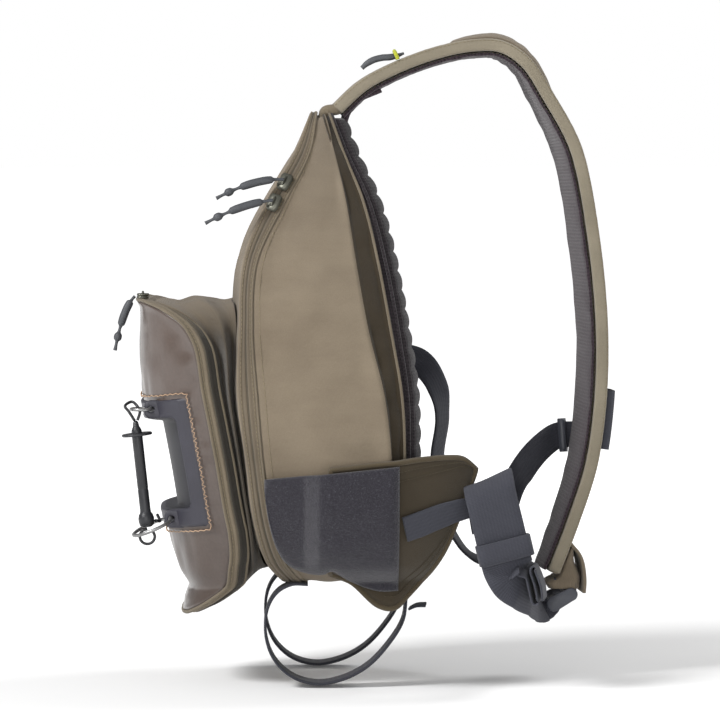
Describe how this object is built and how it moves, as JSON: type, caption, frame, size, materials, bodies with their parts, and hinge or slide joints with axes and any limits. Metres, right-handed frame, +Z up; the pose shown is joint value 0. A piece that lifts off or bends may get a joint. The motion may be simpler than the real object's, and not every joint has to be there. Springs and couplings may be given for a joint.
{
  "type": "fishing tackle sling bag",
  "caption": "One-strap sling pack for fly fishing: teardrop body, zipped front pocket with moulded tippet dock, ribbed back pad, side fly patch and a bottle cradle below.",
  "frame": {"origin": "the place on the underside of the shoulder strap's highest stretch where it rests on a shoulder", "axes": "+X points from the pack to the wearer's side, -X to the front pocket, -Y is the side with the fly patch, +Z is up"},
  "size_m": [0.3799, 0.2499, 0.4876],
  "materials": {
    "taupe": "woven",
    "pale_taupe": "woven",
    "coated": "satin",
    "slate": "ribbed webbing",
    "plum": "mesh",
    "moulded": "satin",
    "felt": "felt",
    "black_plastic": "satin",
    "pull_rubber": "matte",
    "gunmetal": "satin",
    "wire": "matte",
    "lime": "woven"
  },
  "bodies": {
    "root": {"front_panel": "taupe", "main_zip": "pale_taupe", "rear_shell": "taupe", "back_pad": "plum", "main_slider_upper": "gunmetal", "main_pull_upper": "pull_rubber", "main_slider_lower": "gunmetal", "main_pull_lower": "pull_rubber", "pocket_gusset": "taupe", "pocket_zip": "pale_taupe", "pocket_slider": "gunmetal", "pocket_pull": "pull_rubber", "pocket_lid": "coated", "tippet_dock": "moulded", "ring_upper": "wire", "ring_lower": "wire", "tippet_post": "black_plastic", "tippet_stop": "black_plastic", "tippet_loop": "black_plastic", "tippet_hook": "black_plastic", "tippet_clip": "black_plastic", "shoulder_strap": "pale_taupe", "strap_mesh": "plum", "strap_pocket": "taupe", "strap_loop": "lime", "strap_pull": "pull_rubber", "strap_tab": "taupe", "tool_sleeve": "slate", "anchor_tab": "taupe", "anchor_webbing": "slate", "ladder_lock": "black_plastic", "hip_wing": "taupe", "fly_patch": "felt", "wing_webbing": "slate", "sling_webbing": "slate", "webbing_keeper": "slate", "webbing_tail": "slate", "stabiliser_strap": "slate", "stabiliser_buckle": "black_plastic", "cradle_strap_near": "slate", "cradle_strap_far": "slate", "cradle_tail": "slate"}
  },
  "joints": []
}
